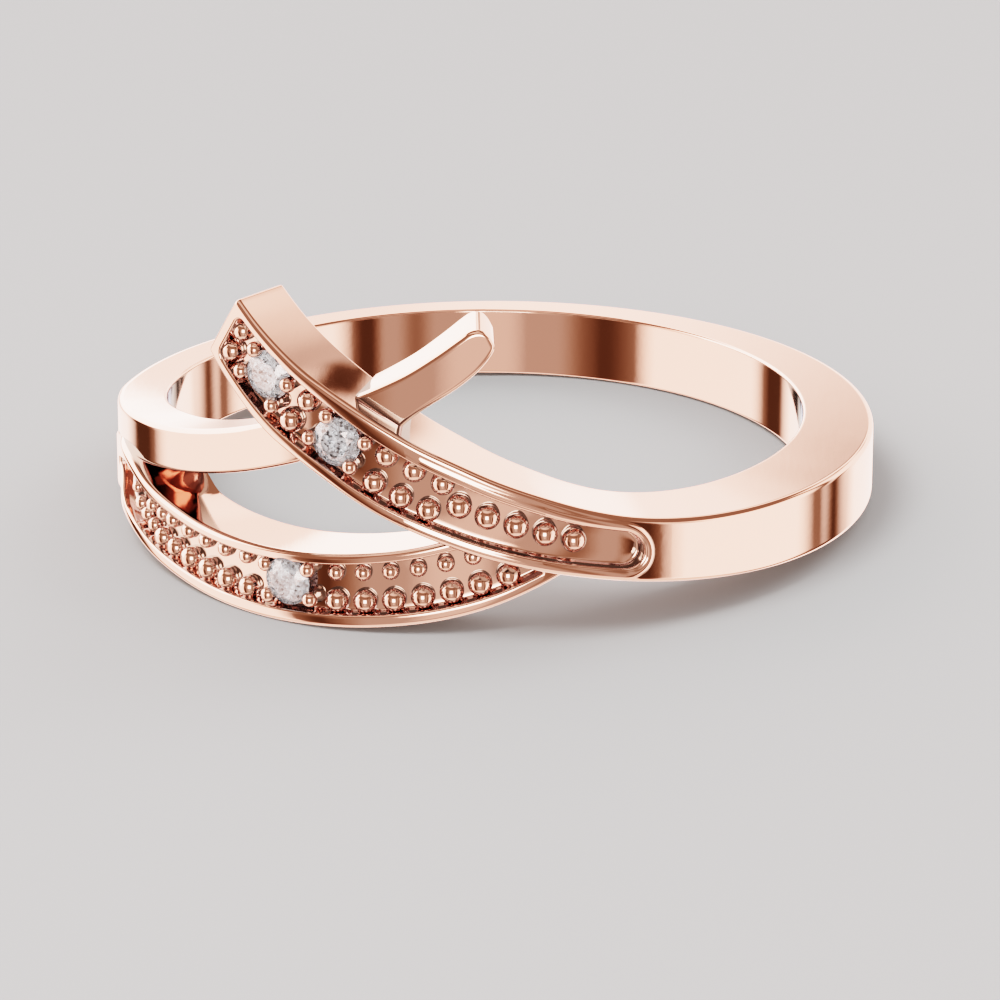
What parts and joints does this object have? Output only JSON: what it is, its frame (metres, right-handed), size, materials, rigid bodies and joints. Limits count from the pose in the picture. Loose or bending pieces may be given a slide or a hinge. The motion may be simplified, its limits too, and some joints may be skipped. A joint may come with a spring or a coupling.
{
  "type": "swirl ring",
  "caption": "Rose-gold swirl ring lying on its side: a plain strand and a beaded strand cross over a lower beaded strand, with small round clear stones.",
  "frame": {"origin": "on the finger axis, in the middle of the plain shank's width", "axes": "+Z along the finger axis towards the raised tips; the swirl faces -Y, so looking along +Y sees the picture's side"},
  "size_m": [0.0206, 0.0206, 0.0086],
  "materials": {
    "rose_gold": "polished",
    "stone": "clear"
  },
  "bodies": {
    "root": {"band": "rose_gold", "stone_tip": "stone", "stone_mid": "stone", "stone_low": "stone"}
  },
  "joints": []
}
